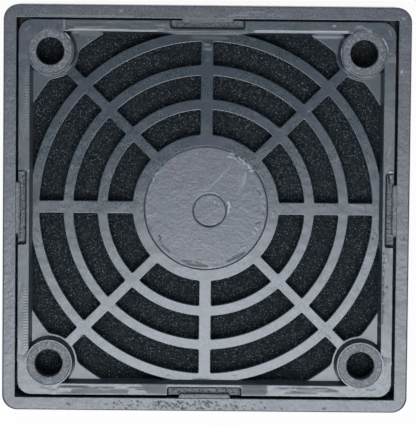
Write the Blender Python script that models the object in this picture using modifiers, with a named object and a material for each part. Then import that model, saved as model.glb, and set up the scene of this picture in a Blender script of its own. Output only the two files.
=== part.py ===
"""Dust filter for a 60 mm fan: a finger guard, a square of foam and the clip-on frame that traps it.

The filter lies on the frame's front face, and the side that meets the fan faces up. X and Y run
along the sides, Z runs from the front of the frame to the fan, and the origin is under the middle
of the frame.
"""

import math

import bmesh
import bpy

MM = 0.001

# Screw holes and bosses of the guard
HOLE_PITCH = 50.0 * MM
HOLE_DIAMETER = 4.4 * MM
BOSS_WALL = 1.6 * MM
BOSS_DRAFT = 0.4 * MM
BOSS_FLANGE = 0.35 * MM
SCREW_SEAT_WIDTH = 1.6 * MM
SCREW_SEAT_SLOPE = 1.0

# Retainer frame
HOLE_TO_EDGE = 7.5 * MM
FRAME_WALL = 2.07 * MM
FRAME_BELOW_GUARD = 0.2 * MM
FRAME_CORNER_RADIUS = 2.4 * MM
FRAME_FRONT_CHAMFER = 0.6 * MM
FRONT_THICKNESS = 1.6 * MM

# Front grille of the frame: slots in columns between upright ribs
FRONT_BORDER = 5.0 * MM
FRONT_SLOTS = 10
FRONT_SLAT_WIDTH = 2.0 * MM
FRONT_COLUMNS = 3
FRONT_RIB_WIDTH = 2.0 * MM

# Barbs of the frame, which hook over the notches of the guard
BARB_HOOK = 0.34 * MM
BARB_BELOW_FRAME = 0.15 * MM
BARB_CORNER_RADIUS = 0.3 * MM
BARB_UNDER_CLEARANCE = 0.3 * MM
BARB_END_CLEARANCE = 1.85 * MM
BARB_TIP_CLEARANCE = 1.01 * MM

# Finger guard
GUARD_CLEARANCE = 0.38 * MM
GUARD_PLAY_X = -0.04 * MM
GUARD_PLAY_Y = 0.08 * MM
GUARD_TOP = 11.0 * MM
GUARD_CORNER_RADIUS = 2.2 * MM
RIM_WIDTH = 1.85 * MM
RIM_DRAFT = 0.42 * MM
CORNER_PAD_LENGTH = 7.25 * MM
CORNER_PAD_STEP = 0.12 * MM
SKIRT_THICKNESS = 1.5 * MM
SKIRT_CORNER_RADIUS = 0.7 * MM
SKIRT_CLEARANCE = 0.4 * MM

# Grille of the guard
GRILLE_DEPTH = 2.4 * MM
GRILLE_THICKNESS = 1.8 * MM
HUB_RADIUS = 11.84 * MM
HUB_TO_RING = 3.9 * MM
RING_COUNT = 3
RING_WIDTH = 1.74 * MM
RING_TO_RING = 3.72 * MM
RING_TO_CORNER_PLATE = 3.9 * MM
STRAIGHT_SPOKE_WIDTH = 2.05 * MM
DIAGONAL_SPOKE_WIDTH = 1.72 * MM
HUB_EDGE_WIDTH = 1.89 * MM
HUB_DISC_DEPTH = 0.12 * MM
GATE_RADIUS = 2.65 * MM
GATE_DEPTH = 0.15 * MM
GATE_X = 0.6 * MM
GATE_Y = -0.35 * MM

# Latch notches of the guard
NOTCH_LENGTH = 12.0 * MM
NOTCH_DEPTH = 1.2 * MM
NOTCH_CORNER_RADIUS = 0.45 * MM

# Foam
FOAM_END_CLEARANCE = 0.3 * MM
FOAM_SIDE_CLEARANCE = 0.4 * MM
FOAM_CORNER_RADIUS = 1.0 * MM

# Fineness of the facets, and how far a cutter runs past what it cuts
RING_FACETS = 96
HOLE_FACETS = 40
CORNER_FACETS = 6
OVERCUT = 1.0 * MM
SMOOTH_ANGLE = math.radians(30)

# Places that follow from the sizes
HOLE_PLACE = HOLE_PITCH / 2
FRAME_OUTER = HOLE_PLACE + HOLE_TO_EDGE
FRAME_INNER = FRAME_OUTER - FRAME_WALL
GUARD_OUTER = FRAME_INNER - GUARD_CLEARANCE
GUARD_INNER = GUARD_OUTER - RIM_WIDTH
GRILLE_INNER = GUARD_INNER - RIM_DRAFT
SKIRT_INNER = GUARD_OUTER - SKIRT_THICKNESS
SKIRT_BOTTOM = FRONT_THICKNESS + SKIRT_CLEARANCE
GRILLE_TOP = GUARD_TOP - GRILLE_DEPTH
GRILLE_BOTTOM = GRILLE_TOP - GRILLE_THICKNESS
FRAME_TOP = GUARD_TOP - FRAME_BELOW_GUARD
NOTCH_FLOOR = GUARD_TOP - NOTCH_DEPTH
HOLE_RADIUS = HOLE_DIAMETER / 2
BOSS_RADIUS = HOLE_RADIUS + BOSS_WALL
FLANGE_RADIUS = BOSS_RADIUS + BOSS_DRAFT + BOSS_FLANGE
HOLE_PLACES = [(x, y) for x in (-HOLE_PLACE, HOLE_PLACE) for y in (-HOLE_PLACE, HOLE_PLACE)]
QUARTER_TURNS = [i * math.pi / 2 for i in range(4)]


def new_collection(name):
    """An empty collection in the scene."""
    made = bpy.data.collections.new(name)
    bpy.context.scene.collection.children.link(made)
    return made


def new_object(name, shape, group):
    """An object with a bmesh's shape, which is freed."""
    mesh = bpy.data.meshes.new(name)
    shape.to_mesh(mesh)
    shape.free()
    made = bpy.data.objects.new(name, mesh)
    group.objects.link(made)
    return made


def new_material(name, colour, roughness):
    """A Principled material for a moulded plastic or a foam."""
    made = bpy.data.materials.new(name)
    made.use_nodes = True
    shader = made.node_tree.nodes["Principled BSDF"]
    shader.inputs["Base Color"].default_value = (*colour, 1)
    shader.inputs["Roughness"].default_value = roughness
    shader.inputs["Metallic"].default_value = 0
    return made


def add_block(shape, low, high, corner_radius=0.0, turned=0.0):
    """Adds a box between two corners to a bmesh, with round upright edges, turned about Z."""
    made = bmesh.ops.create_cube(shape, size=1)["verts"]
    bmesh.ops.scale(shape, vec=[h - l for l, h in zip(low, high)], verts=made)
    bmesh.ops.translate(shape, vec=[(h + l) / 2 for l, h in zip(low, high)], verts=made)
    if turned:
        cos, sin = math.cos(turned), math.sin(turned)
        for vertex in made:
            x, y, z = vertex.co
            vertex.co = (cos * x - sin * y, sin * x + cos * y, z)
    if corner_radius:
        shape.normal_update()
        own = set(made)
        upright = [e for e in shape.edges if own.issuperset(e.verts)
                   and abs(e.verts[0].co.z - e.verts[1].co.z) > OVERCUT / 10]
        bmesh.ops.bevel(shape, geom=upright, offset=corner_radius, offset_type="OFFSET",
                        segments=CORNER_FACETS, profile=0.5, affect="EDGES")


def add_square(shape, half, low_z, high_z, corner_radius=0.0):
    """Adds a square block about the Z axis to a bmesh."""
    add_block(shape, (-half, -half, low_z), (half, half, high_z), corner_radius)


def add_round(shape, low_radius, high_radius, low_z, high_z, facets, at=(0.0, 0.0)):
    """Adds an upright cylinder or cone to a bmesh."""
    made = bmesh.ops.create_cone(shape, cap_ends=True, segments=facets, radius1=low_radius,
                                 radius2=high_radius, depth=high_z - low_z)["verts"]
    bmesh.ops.translate(shape, vec=(*at, (low_z + high_z) / 2), verts=made)


def cutter(name, shape):
    """An object that only cuts, kept out of the render."""
    made = new_object(name, shape, cutters)
    made.display_type = "WIRE"
    made.hide_render = True
    return made


def combine(target, other, operation):
    """Joins another object to a target, or cuts it away."""
    boolean = target.modifiers.new(other.name, "BOOLEAN")
    boolean.solver = "EXACT"
    boolean.operation = operation
    boolean.object = other


def finish(piece, material):
    """Gives a piece its material and smooths its round faces."""
    piece.data.materials.append(material)
    piece.data.shade_smooth()
    piece.data.set_sharp_from_angle(angle=SMOOTH_ANGLE)


def side_blocks(low, high, corner_radius=0.0):
    """One box at each side of the square, from the box at the +X side."""
    shape = bmesh.new()
    for turned in QUARTER_TURNS:
        add_block(shape, low, high, corner_radius, turned)
    return shape


def ring_member(name, inner, outer, low_z, high_z):
    """A ring of the grille, turned from a rectangle that runs down its outer side."""
    shape = bmesh.new()
    profile = [(outer, high_z), (outer, low_z), (inner, low_z), (inner, high_z)]
    points = [shape.verts.new((radius, 0, z)) for radius, z in profile]
    for first, second in zip(points, points[1:] + points[:1]):
        shape.edges.new((first, second))
    ring = cutter(name, shape)
    screw = ring.modifiers.new("turn", "SCREW")
    screw.axis = "Z"
    screw.steps = RING_FACETS
    screw.render_steps = RING_FACETS
    screw.use_merge_vertices = True
    screw.merge_threshold = MM / 100
    return ring


def grille_openings():
    """The open air of the guard's grille: a round field, less the hub, rings, spokes and flanges."""
    low_z, high_z = GRILLE_BOTTOM - OVERCUT, GRILLE_TOP + OVERCUT
    member_low, member_high = low_z - OVERCUT, high_z + OVERCUT
    last_ring = HUB_RADIUS + HUB_TO_RING + RING_COUNT * RING_WIDTH + (RING_COUNT - 1) * RING_TO_RING
    field_radius = last_ring + RING_TO_CORNER_PLATE

    shape = bmesh.new()
    add_round(shape, field_radius, field_radius, low_z, high_z, RING_FACETS)
    openings = cutter("grille_openings", shape)

    shape = bmesh.new()
    add_square(shape, GRILLE_INNER, member_low, member_high)
    combine(openings, cutter("grille_square", shape), "INTERSECT")

    shape = bmesh.new()
    add_round(shape, HUB_RADIUS, HUB_RADIUS, member_low, member_high, RING_FACETS)
    combine(openings, cutter("grille_hub", shape), "DIFFERENCE")

    for i in range(RING_COUNT):
        inner = HUB_RADIUS + HUB_TO_RING + i * (RING_WIDTH + RING_TO_RING)
        ring = ring_member(f"grille_ring_{i + 1}", inner, inner + RING_WIDTH, member_low, member_high)
        combine(openings, ring, "DIFFERENCE")

    for i in range(4):
        width = STRAIGHT_SPOKE_WIDTH if i % 2 == 0 else DIAGONAL_SPOKE_WIDTH
        reach = field_radius + OVERCUT
        shape = bmesh.new()
        add_block(shape, (-reach, -width / 2, member_low), (reach, width / 2, member_high),
                  turned=i * math.pi / 4)
        combine(openings, cutter(f"grille_spoke_{i + 1}", shape), "DIFFERENCE")

    shape = bmesh.new()
    for place in HOLE_PLACES:
        add_round(shape, FLANGE_RADIUS, FLANGE_RADIUS, member_low, member_high, HOLE_FACETS, place)
    combine(openings, cutter("grille_flanges", shape), "DIFFERENCE")
    return openings


def guard_recess():
    """The drafted recess over the grille, which leaves the bosses and the corners behind them."""
    slope = RIM_DRAFT / GRILLE_DEPTH
    high_z = GUARD_TOP + OVERCUT
    shape = bmesh.new()
    add_square(shape, GRILLE_INNER, GRILLE_TOP, high_z)
    for vertex in shape.verts:
        if vertex.co.z > GUARD_TOP:
            grown = (GUARD_INNER + slope * OVERCUT) / GRILLE_INNER
            vertex.co.x *= grown
            vertex.co.y *= grown
    recess = cutter("guard_recess", shape)

    boss_slope = BOSS_DRAFT / GRILLE_DEPTH
    base_radius = BOSS_RADIUS + BOSS_DRAFT + boss_slope * OVERCUT
    end_radius = BOSS_RADIUS - 2 * boss_slope * OVERCUT
    shape = bmesh.new()
    for place in HOLE_PLACES:
        add_round(shape, base_radius, end_radius, GRILLE_TOP - OVERCUT, high_z + OVERCUT,
                  HOLE_FACETS, place)
    combine(recess, cutter("guard_bosses", shape), "DIFFERENCE")

    shape = bmesh.new()
    for x, y in HOLE_PLACES:
        side_x, side_y = math.copysign(1, x), math.copysign(1, y)
        far_x, far_y = side_x * FRAME_OUTER, side_y * FRAME_OUTER
        add_block(shape, (min(x, far_x), min(y, far_y), GRILLE_TOP - OVERCUT),
                  (max(x, far_x), max(y, far_y), high_z + OVERCUT))
    combine(recess, cutter("guard_corners", shape), "DIFFERENCE")
    return recess


def screw_holes():
    """Four clearance holes, with a conical seat for a screw head on the foam side."""
    seat_height = SCREW_SEAT_WIDTH / SCREW_SEAT_SLOPE
    mouth_radius = HOLE_RADIUS + SCREW_SEAT_WIDTH + SCREW_SEAT_SLOPE * OVERCUT
    holes, seats = bmesh.new(), bmesh.new()
    for place in HOLE_PLACES:
        add_round(holes, HOLE_RADIUS, HOLE_RADIUS, GRILLE_BOTTOM - 2 * OVERCUT, GUARD_TOP + OVERCUT,
                  HOLE_FACETS, place)
        add_round(seats, mouth_radius, HOLE_RADIUS, GRILLE_BOTTOM - OVERCUT,
                  GRILLE_BOTTOM + seat_height, HOLE_FACETS, place)
    return cutter("screw_holes", holes), cutter("screw_seats", seats)


def hub_marks():
    """The shallow disc in the hub and the round gate mark in it."""
    disc, gate = bmesh.new(), bmesh.new()
    disc_radius = HUB_RADIUS - HUB_EDGE_WIDTH
    disc_floor = GRILLE_TOP - HUB_DISC_DEPTH
    add_round(disc, disc_radius, disc_radius, disc_floor, GRILLE_TOP + OVERCUT, RING_FACETS)
    add_round(gate, GATE_RADIUS, GATE_RADIUS, disc_floor - GATE_DEPTH, GRILLE_TOP, HOLE_FACETS,
              (GATE_X, GATE_Y))
    return cutter("hub_disc", disc), cutter("gate_mark", gate)


def finger_guard(material):
    """The moulded tray with its grille, bosses and notches."""
    shape = bmesh.new()
    add_square(shape, GUARD_OUTER, SKIRT_BOTTOM, GUARD_TOP, GUARD_CORNER_RADIUS)
    guard = new_object("finger_guard", shape, filter_parts)

    shape = bmesh.new()
    add_square(shape, SKIRT_INNER, SKIRT_BOTTOM - OVERCUT, GRILLE_BOTTOM, SKIRT_CORNER_RADIUS)
    combine(guard, cutter("foam_pocket", shape), "DIFFERENCE")
    combine(guard, guard_recess(), "DIFFERENCE")
    combine(guard, grille_openings(), "DIFFERENCE")

    pad_end = GUARD_OUTER - CORNER_PAD_LENGTH
    low_rim = side_blocks((GUARD_INNER - RIM_DRAFT / 2, -pad_end, GUARD_TOP - CORNER_PAD_STEP),
                          (GUARD_OUTER + OVERCUT, pad_end, GUARD_TOP + OVERCUT))
    combine(guard, cutter("rim_between_pads", low_rim), "DIFFERENCE")
    notches = side_blocks((GUARD_OUTER - BARB_HOOK - BARB_TIP_CLEARANCE, -NOTCH_LENGTH / 2, NOTCH_FLOOR),
                          (GUARD_OUTER + OVERCUT, NOTCH_LENGTH / 2, GUARD_TOP + 2 * OVERCUT),
                          NOTCH_CORNER_RADIUS)
    combine(guard, cutter("latch_notches", notches), "DIFFERENCE")

    for made in (*screw_holes(), *hub_marks()):
        combine(guard, made, "DIFFERENCE")
    guard.location = (GUARD_PLAY_X, GUARD_PLAY_Y, 0)
    finish(guard, material)
    return guard


def front_slots():
    """The slots of the frame's front grille, in columns between the ribs."""
    window = 2 * (FRAME_OUTER - FRONT_BORDER)
    slot_length = (window - (FRONT_COLUMNS - 1) * FRONT_RIB_WIDTH) / FRONT_COLUMNS
    slot_width = (window - (FRONT_SLOTS - 1) * FRONT_SLAT_WIDTH) / FRONT_SLOTS
    shape = bmesh.new()
    for column in range(FRONT_COLUMNS):
        x = -window / 2 + column * (slot_length + FRONT_RIB_WIDTH)
        for row in range(FRONT_SLOTS):
            y = -window / 2 + row * (slot_width + FRONT_SLAT_WIDTH)
            add_block(shape, (x, y, -OVERCUT), (x + slot_length, y + slot_width,
                                                FRONT_THICKNESS + OVERCUT))
    return cutter("front_slots", shape)


def retainer_frame(material):
    """The clip-on frame: a bezel with a front grille, walls around the guard, and four barbs."""
    shape = bmesh.new()
    add_square(shape, FRAME_OUTER, 0, FRAME_TOP, FRAME_CORNER_RADIUS)
    front_edges = [e for e in shape.edges if max(v.co.z for v in e.verts) < FRONT_THICKNESS]
    bmesh.ops.bevel(shape, geom=front_edges, offset=FRAME_FRONT_CHAMFER, offset_type="OFFSET",
                    segments=1, affect="EDGES")
    frame = new_object("retainer_frame", shape, filter_parts)

    shape = bmesh.new()
    add_square(shape, FRAME_INNER, FRONT_THICKNESS, FRAME_TOP + OVERCUT)
    combine(frame, cutter("guard_pocket", shape), "DIFFERENCE")
    combine(frame, front_slots(), "DIFFERENCE")

    barb_end = NOTCH_LENGTH / 2 - BARB_END_CLEARANCE
    barbs = side_blocks((GUARD_OUTER - BARB_HOOK, -barb_end, NOTCH_FLOOR + BARB_UNDER_CLEARANCE),
                        (FRAME_INNER + FRAME_WALL / 2, barb_end, FRAME_TOP - BARB_BELOW_FRAME),
                        BARB_CORNER_RADIUS)
    combine(frame, cutter("barbs", barbs), "UNION")
    finish(frame, material)
    return frame


def filter_foam(material):
    """The square of foam in the guard's pocket, held by the frame's front grille."""
    half = SKIRT_INNER - FOAM_SIDE_CLEARANCE
    shape = bmesh.new()
    add_square(shape, half, FRONT_THICKNESS + FOAM_END_CLEARANCE, GRILLE_BOTTOM - FOAM_END_CLEARANCE,
               FOAM_CORNER_RADIUS)
    foam = new_object("filter_foam", shape, filter_parts)
    foam.location = (GUARD_PLAY_X, GUARD_PLAY_Y, 0)
    finish(foam, material)
    return foam


for old in list(bpy.data.objects):
    bpy.data.objects.remove(old, do_unlink=True)

filter_parts = new_collection("fan dust filter")
cutters = new_collection("cutters")
black_plastic = new_material("black plastic", (0.035, 0.04, 0.05), 0.42)
satin_plastic = new_material("satin black plastic", (0.045, 0.048, 0.055), 0.5)
black_foam = new_material("black foam", (0.012, 0.015, 0.016), 0.95)

finger_guard(black_plastic)
filter_foam(black_foam)
retainer_frame(satin_plastic)
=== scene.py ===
"""Looks of the fan dust filter: finger guard, foam square and retainer frame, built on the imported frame."""
import math

import bmesh
import bpy
import numpy as np
from mathutils import Matrix, Vector
from mathutils.geometry import delaunay_2d_cdt


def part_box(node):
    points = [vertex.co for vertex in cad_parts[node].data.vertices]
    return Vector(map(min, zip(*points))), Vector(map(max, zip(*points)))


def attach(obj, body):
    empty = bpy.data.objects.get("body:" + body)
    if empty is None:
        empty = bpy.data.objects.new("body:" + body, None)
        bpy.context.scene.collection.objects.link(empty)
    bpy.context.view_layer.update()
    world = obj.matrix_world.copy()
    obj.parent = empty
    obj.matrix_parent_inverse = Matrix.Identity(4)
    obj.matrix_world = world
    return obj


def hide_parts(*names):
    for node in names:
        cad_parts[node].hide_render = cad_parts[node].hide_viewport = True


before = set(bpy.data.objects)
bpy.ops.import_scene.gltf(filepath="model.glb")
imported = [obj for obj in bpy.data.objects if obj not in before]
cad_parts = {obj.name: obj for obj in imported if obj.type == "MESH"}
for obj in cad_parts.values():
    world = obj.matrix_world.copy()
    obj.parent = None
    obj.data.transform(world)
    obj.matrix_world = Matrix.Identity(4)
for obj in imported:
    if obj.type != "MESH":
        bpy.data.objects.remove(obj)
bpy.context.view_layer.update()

# Shapes are worked out in millimetres and go into the meshes in metres
MM = 0.001
SEED = 5

GUARD_LOW, GUARD_HIGH = (np.array(corner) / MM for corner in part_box("finger_guard"))
FOAM_LOW, FOAM_HIGH = (np.array(corner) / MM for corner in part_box("filter_foam"))
FRAME_HIGH = np.array(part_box("retainer_frame")[1]) / MM

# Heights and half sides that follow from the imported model
GUARD_MIDDLE = (GUARD_LOW + GUARD_HIGH)[:2] / 2
GUARD_TOP = GUARD_HIGH[2]
GUARD_OUTER = (GUARD_HIGH - GUARD_LOW)[0] / 2
SKIRT_BOTTOM = GUARD_LOW[2]
FRAME_OUTER = FRAME_HIGH[0]
FRAME_TOP = FRAME_HIGH[2]

# Finger guard, as in the model
GUARD_CORNER = 2.2
RIM_WIDTH = 1.85
RIM_DRAFT = 0.42
PAD_STEP = 0.12
PAD_FADE = 1.5
PAD_SINK = 0.04
SKIRT_THICKNESS = 1.5
SKIRT_CORNER = 0.7
GRILLE_DEPTH = 2.4
GRILLE_THICKNESS = 1.8
HOLE_PLACE = 25.0
HOLE_RADIUS = 2.2
BOSS_RADIUS = 3.8
BOSS_DRAFT = 0.4
FLANGE_RADIUS = 4.55
SEAT_WIDTH = 1.6
HUB_RADIUS = 11.84
RING_GAPS = ((HUB_RADIUS, 15.74), (17.48, 21.20), (22.94, 26.66))
CORNER_GAP = (28.40, 32.30)
STRAIGHT_SPOKE = 2.05
DIAGONAL_SPOKE = 1.72
WINDOW_FILLET = 0.17
HUB_DISC_RADIUS = 9.95
HUB_DISC_DEPTH = 0.12
GATE_MIDDLE = np.array([0.6, -0.35])
GATE_RADIUS = 2.65
GATE_DEPTH = 0.15
NOTCH_LENGTH = 12.0
NOTCH_DEPTH = 1.2
NOTCH_INSET = 1.35
NOTCH_CORNER = 0.45
NOTCH_DRAFT = 0.2

# Retainer frame, as in the model
FRAME_WALL = 2.07
FRAME_CORNER = 2.4
FRAME_CHAMFER = 0.6
FRONT_THICKNESS = 1.6
FRONT_WINDOW = 27.5
FRONT_SLOTS = 10
FRONT_COLUMNS = 3
SLAT_WIDTH = 2.0
BARB_LENGTH = 8.3
BARB_TIP = 29.71
BARB_LOW = 10.1
BARB_HIGH = 10.65

# Small roundings of the moulding, the support points beside them, and how far hidden edges overlap
SHARP = 0.1
EDGE = 0.13
GAP_EDGE = 0.08
SUPPORT = 0.03
TUCK = 0.02
ROUNDING_STEPS = 3
CORNER_STEPS = 8

# Names of the four sides in quarter turns from +X, and of the four corners with their signs
SIDES = ("right", "high", "left", "low")
CORNERS = (("left_low", -1, -1), ("left_high", -1, 1), ("right_low", 1, -1), ("right_high", 1, 1))

# Places that follow from the sizes
GRILLE_TOP = GUARD_TOP - GRILLE_DEPTH
GRILLE_BOTTOM = GRILLE_TOP - GRILLE_THICKNESS
RIM_TOP = GUARD_TOP - PAD_STEP
RIM_INNER = GUARD_OUTER - RIM_WIDTH
WALL_FOOT = RIM_INNER - RIM_DRAFT
SKIRT_INNER = GUARD_OUTER - SKIRT_THICKNESS
NOTCH_FLOOR = GUARD_TOP - NOTCH_DEPTH
NOTCH_WALL = GUARD_OUTER - NOTCH_INSET
FRAME_INNER = FRAME_OUTER - FRAME_WALL

# The grille is slightly domed: rise in its middle, and how far the dome reaches in X and Y
DOME = 0.17
DOME_REACH = np.array([23.0, 30.0])

# The seat ring round a screw hole: its radius, how far it lies under the pad and how rough it is, and
# the groove that parts it from its pad
SEAT_RING = 3.48
SEAT_SINK = 0.015
SEAT_ROUGH = 0.016
GROOVE_RADIUS = 3.5

# The rim rises from here along each side over a length, and is cut away again under the pads
RISE_START = 9
RISE_LENGTH = 13.6
CUT_START = 23.6
CUT_LENGTH = 0.8
CUT_DEPTH = 0.06

# Grooves round the gate mark and the hub's disc: depth and width
GATE_GROOVE = (0.05, 0.06)
DISC_GROOVE = (0.07, 0.11)

# Rough plates on the notch floors and the barbs: roughness, thickness and width of the painted shade along
# their edges
PLATE_ROUGH = 0.035
PLATE_THICKNESS = 0.2
PLATE_EDGE_SHADE = 0.22
BED_HEIGHT = 0.13

# Roundings of the frame's outer top edge and of its chamfer
FRAME_EDGE = 0.22
CHAMFER_EDGE = 0.15

# Steps of the fine grids on the grille, the pads, the rim, the boss faces and the frame, and how far
# the stations reach along the sides of the rim and the frame
GRILLE_STEP = 0.35
PAD_GRID = 0.2
RIM_STEP = 0.16
BOSS_STEP = 0.12
FRAME_STEP = 0.17
RIM_REACH = 27.6
FRAME_REACH = 29.5

# Foam: grid step, depth and spacing of the pores, the gap over which a strut turns into a pore, and
# the margin over which the pores flatten towards the edge
FOAM_STEP = 0.21
PORE_DEPTH = 0.34
PORE_SPACING = 0.62
STRUT_GAP = 0.45
FOAM_MARGIN = 0.5

# Marks of moulding and use, and some rows of painted highlights and painted shade. Each row: start and
# end in the guard's plan, width, rise, and shade from -1 (dark) to 1 (bare and light)
HUB_MARKS_AND_SHADE = (
    (0.4, 3, 3.7, 6.6, 0.12, 0, 0.4), (1.6, 4.3, 2.6, 5.4, 0.13, 0.01, 0.5),
    (3.7, 6.6, 4.2, 7.3, 0.1, 0, 0.25), (6.1, 3.9, 6.35, 5.7, 0.16, 0.01, 0.55),
    (5.7, 3.2, 5.95, 5.3, 0.13, 0.01, 0.4), (5.1, 2.4, 5.5, 3.9, 0.3, 0, 0.15),
    (5.3, 4.4, 5.5, 5.5, 0.12, 0.01, 0.25), (3.6, 1, 3.85, 0.35, 0.42, 0.07, 0.7),
    (3.7, 0.4, 3.6, -0.55, 0.3, 0.06, 0.6), (1.4, 1.15, 1.5, 0.95, 0.2, 0.03, 0.5),
    (2, 1, 2.15, 0.7, 0.18, 0.03, 0.4), (0.3, 1.8, 0.9, 1.85, 0.14, 0.02, 0.35),
    (-8.5, 5.6, -8.2, 5.25, 0.15, 0.03, 0.8), (-8.2, 5.7, -7.7, 5.5, 0.13, 0.03, 0.7),
    (-8.6, 4.9, -8.3, 4.5, 0.15, 0.03, 0.6), (-8.2, 4.7, -8, 4.4, 0.12, -0.03, -0.4),
    (-6.9, 7.2, -6.5, 7.4, 0.12, 0.02, 0.4), (-7.7, 6.2, -7.3, 6.6, 0.12, 0.02, 0.3),
    (3.4, 8.4, 4.2, 8.2, 0.14, 0.03, 0.55), (3.8, 8.9, 4.6, 8.7, 0.13, 0.03, 0.6),
    (4.4, 8.2, 4.75, 7.9, 0.14, 0.02, 0.5), (4.6, 8.55, 5, 8.4, 0.17, -0.04, -0.8),
    (5.2, 8.3, 5.6, 7.8, 0.14, 0.03, 0.7), (5, 7.7, 5.4, 7.5, 0.12, 0.02, 0.4),
    (5.9, 7.9, 6.1, 7.2, 0.14, 0.03, 0.85), (6.1, 7.2, 6.5, 7.3, 0.12, 0.02, 0.6),
    (6.7, 7.2, 6.8, 6.6, 0.14, 0.03, 0.9), (7, 6.9, 7.3, 6.5, 0.14, 0.03, 0.8),
    (6.5, 6.3, 7.1, 6.25, 0.1, -0.03, -0.4), (6.9, 6.1, 7.9, 6.15, 0.12, 0.03, 0.8),
    (8.4, 2.9, 8.8, 2.3, 0.2, -0.03, -0.4), (8.8, 2.3, 9.1, 2, 0.12, 0.02, 0.5),
    (8.9, 1.5, 9, 1, 0.12, 0.02, 0.4), (9.2, 1.3, 9.4, 0.9, 0.12, 0.03, 0.6),
    (9, 0.5, 9.2, 0.1, 0.12, 0.02, 0.5), (9.4, 0.2, 9.5, -0.1, 0.12, 0.02, 0.5),
    (9.2, -0.5, 9.5, -0.9, 0.14, -0.02, -0.5), (9.1, -1.1, 9.3, -1.5, 0.12, 0.02, 0.35),
    (8.1, -2.4, 8.7, -2.1, 0.22, -0.03, -0.5), (8, -3, 8.3, -3.4, 0.18, 0.03, 0.6),
    (7.6, -3.6, 8, -4.1, 0.2, 0.02, 0.5), (8.5, -3.1, 8.6, -3.5, 0.13, 0.02, 0.4),
    (-9.4, 2.1, -9.3, 1.6, 0.12, 0.02, 0.35), (-9.1, 1, -9, 0.7, 0.12, 0.02, 0.3),
    (-9.6, 0.4, -9.5, -0.1, 0.14, 0.01, 0.35), (-5.2, 1.6, -5, 1.5, 0.16, 0.02, 0.3),
    (-9.2, -2.6, -8.7, -3.5, 0.22, -0.02, -0.25), (-7.5, -4.4, -7.3, -4.6, 0.14, -0.05, -0.9),
    (-7.2, -4.8, -7.35, -5.1, 0.13, -0.05, -0.8), (-7.3, -5.3, -7, -5.5, 0.13, -0.03, -0.4),
    (-6.9, -6, -5.9, -6.9, 0.3, -0.03, -0.3), (-3.7, -8.4, -2.4, -8.6, 0.3, -0.03, -0.35),
    (-2.8, -8.95, -0.6, -9.3, 0.34, -0.03, -0.32), (-1.5, -8.7, 0.2, -9.3, 0.26, -0.03, -0.35),
    (3.6, -8.4, 4.8, -7.9, 0.34, -0.03, -0.3), (4.5, -7.8, 6.3, -7, 0.26, -0.03, -0.34),
    (5.2, -7.9, 6, -7.3, 0.3, -0.03, -0.4), (5.6, -6.5, 6.5, -6.1, 0.2, 0.02, 0.35),
    (-0.6, -4.2, 0.2, -4.5, 0.1, 0.01, 0.2), (0.2, -4.5, 1.1, -4.3, 0.1, 0.01, 0.25),
    # The next three rows deepen the gate mark's groove on its lower side and paint it dark there: painted
    # shade, besides the real deepening
    (-1.43, -2.05, -0.31, -2.84, 0.13, -0.04, -0.7), (-0.31, -2.84, 1.06, -2.96, 0.17, -0.05, -0.9),
    (1.06, -2.96, 2.3, -2.38, 0.13, -0.04, -0.7), (-0.2, -4.8, 1.2, -4.85, 0.1, 0.01, 0.15),
    (-2, 2.2, -1.2, 2.9, 0.1, 0.01, 0.25), (-1, 2.9, 0.5, 3.1, 0.11, 0.01, 0.4))
GRILLE_MARKS_AND_HIGHLIGHTS = (
    (-18, 27.6, -18.9, 26.9, 0.12, 0.01, 0.35), (-19.4, 27, -19, 27, 0.12, 0.01, 0.3),
    (-26.95, -5.6, -26.7, -6.9, 0.16, 0.02, 0.5), (26.8, -4.2, 27.2, -4.7, 0.26, -0.02, -0.1),
    (27.25, -4.3, 27.3, -4.7, 0.16, 0.02, 0.4), (10.5, -0.1, 10.85, -1, 0.16, 0.01, 0.5),
    (-0.7, 26.2, 0.5, 26.25, 0.16, 0, 0.14), (-0.5, 25.4, 0.7, 25.5, 0.16, 0, 0.12),
    (-0.8, 24.6, 0.2, 24.65, 0.16, 0, 0.12), (-0.2, 23.8, 0.8, 23.85, 0.16, 0, 0.1),
    (-15, -16.5, -14.2, -15.6, 0.16, 0, 0.14), (16.2, 15.4, 16.9, 16.4, 0.16, 0, 0.08),
    (-2, -27.6, 1.5, -27.9, 0.25, 0.01, 0.1), (-6.2, -26.9, -5, -27.3, 0.25, -0.01, -0.06),
    # The second row here and the first of the next line, along y 27.5, are painted highlights at the foot of
    # the rim's high inner wall
    (4.3, -27.1, 5.2, -27, 0.2, -0.01, -0.06), (15, 27.5, 21.6, 27.5, 0.26, 0, 0.55),
    (-20.5, 27.5, -16, 27.5, 0.25, 0, 0.1), (-2.4, 27.4, 3, 27.3, 0.35, 0, -0.12),
    (-19.8, -20.6, -19, -21.2, 0.2, 0, 0.1), (19.2, -19.9, 20.2, -20.7, 0.2, 0, 0.1),
    (-10.6, 1.5, -10.9, -1.2, 0.2, 0, 0.05), (11.4, 3.2, 11, 4.4, 0.18, 0, 0.06))
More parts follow.
